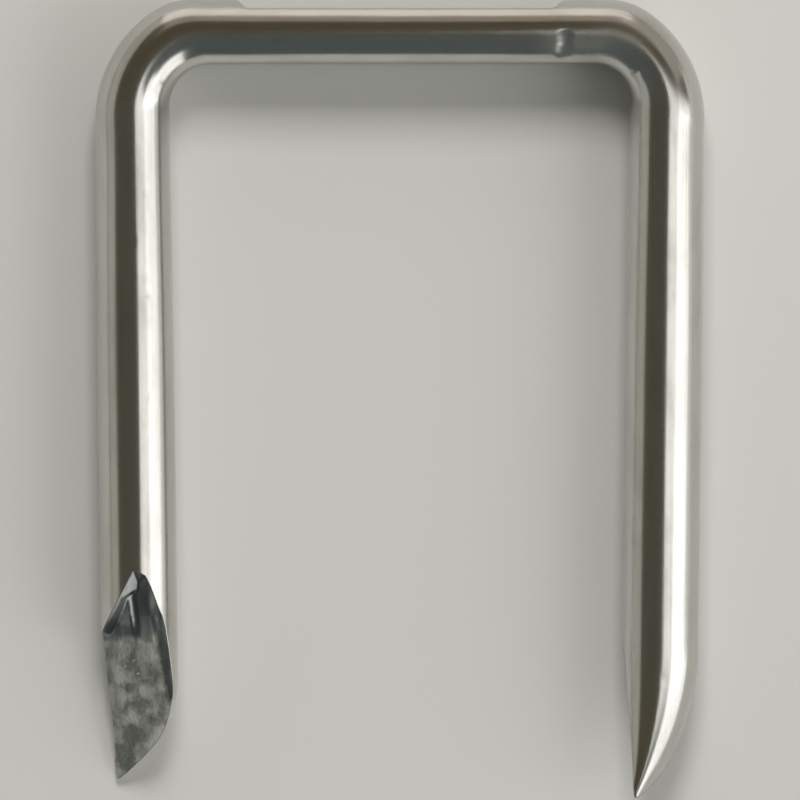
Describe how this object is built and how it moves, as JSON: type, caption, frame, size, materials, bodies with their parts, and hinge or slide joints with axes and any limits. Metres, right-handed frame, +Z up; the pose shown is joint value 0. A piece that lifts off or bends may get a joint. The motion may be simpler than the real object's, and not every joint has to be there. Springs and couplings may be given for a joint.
{
  "type": "cable staple",
  "caption": "Steel wire staple with a struck flat crown and slant-cut chisel points, for fixing flat cable to timber.",
  "frame": {"origin": "under the middle of the bounding box, on the surface that the staple lies on", "axes": "+Y towards the crown, -Y towards the points, X across the legs, +Z up from the surface it lies on"},
  "size_m": [0.019, 0.0248, 0.0028],
  "materials": {
    "zinc_plated_steel": "bright zinc plate over drawn steel wire"
  },
  "bodies": {
    "root": {"staple_wire": "zinc_plated_steel"}
  },
  "joints": []
}
